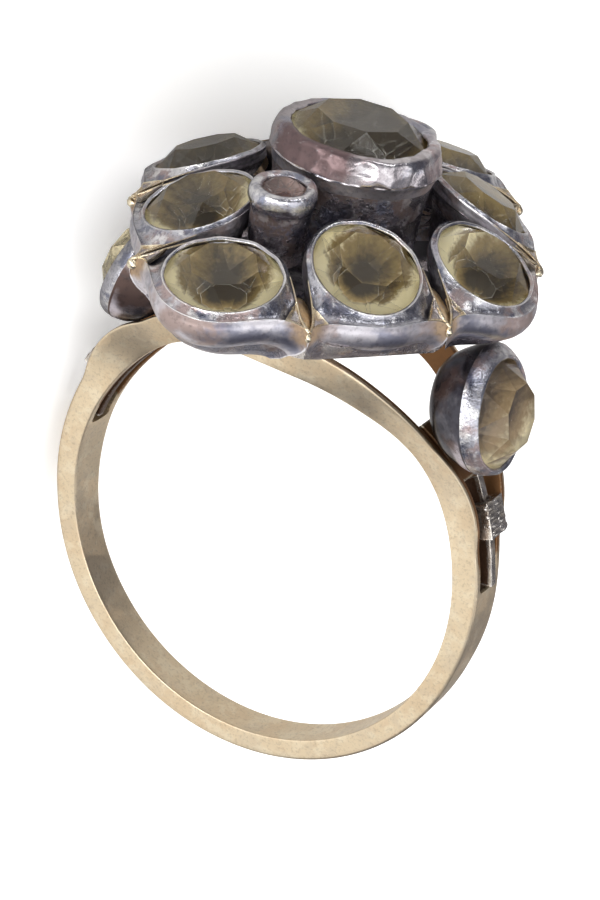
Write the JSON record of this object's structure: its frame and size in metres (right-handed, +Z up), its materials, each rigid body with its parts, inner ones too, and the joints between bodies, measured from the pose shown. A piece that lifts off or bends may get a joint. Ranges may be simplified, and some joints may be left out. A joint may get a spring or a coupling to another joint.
{
  "type": "cluster ring",
  "caption": "Finger ring with a gold hoop, split shoulders and a domed silver cluster head: petal settings of cut stones around a raised centre stone.",
  "frame": {"origin": "centre of the finger hole, on its axis, midway through the band", "axes": "+Z up, the ring lying by itself on its left side on two claws and the edge of the hoop; the head towards -Y; the finger's way through the hoop runs along (0.836, -0.040, 0.547)"},
  "size_m": [0.0193, 0.0277, 0.0172],
  "materials": {
    "gold": "pale worn gold, satin, tarnished inside",
    "claw_gilt": "worn gold, satin",
    "head_silver": "oxidised silver with bright worn edges",
    "shoulder_silver": "oxidised silver, smooth",
    "stone": "cut stone, pale olive brown over dark foil",
    "accent_stone": "small cut stone, pinkish brown"
  },
  "bodies": {
    "root": {"shank": "gold", "shoulder_strip_left": "shoulder_silver", "shoulder_strip_right": "shoulder_silver", "shoulder_collet_left": "shoulder_silver", "shoulder_collet_right": "shoulder_silver", "shoulder_stone_left": "stone", "shoulder_stone_right": "stone", "cluster_setting": "head_silver", "claw_1": "claw_gilt", "claw_2": "claw_gilt", "claw_3": "claw_gilt", "claw_4": "claw_gilt", "claw_5": "claw_gilt", "claw_6": "claw_gilt", "claw_7": "claw_gilt", "claw_8": "claw_gilt", "petal_stone_1": "stone", "petal_stone_2": "stone", "petal_stone_3": "stone", "petal_stone_4": "stone", "petal_stone_5": "stone", "petal_stone_6": "stone", "petal_stone_7": "stone", "petal_stone_8": "stone", "centre_stone": "stone", "accent_stone_1": "accent_stone", "accent_stone_2": "accent_stone"}
  },
  "joints": []
}
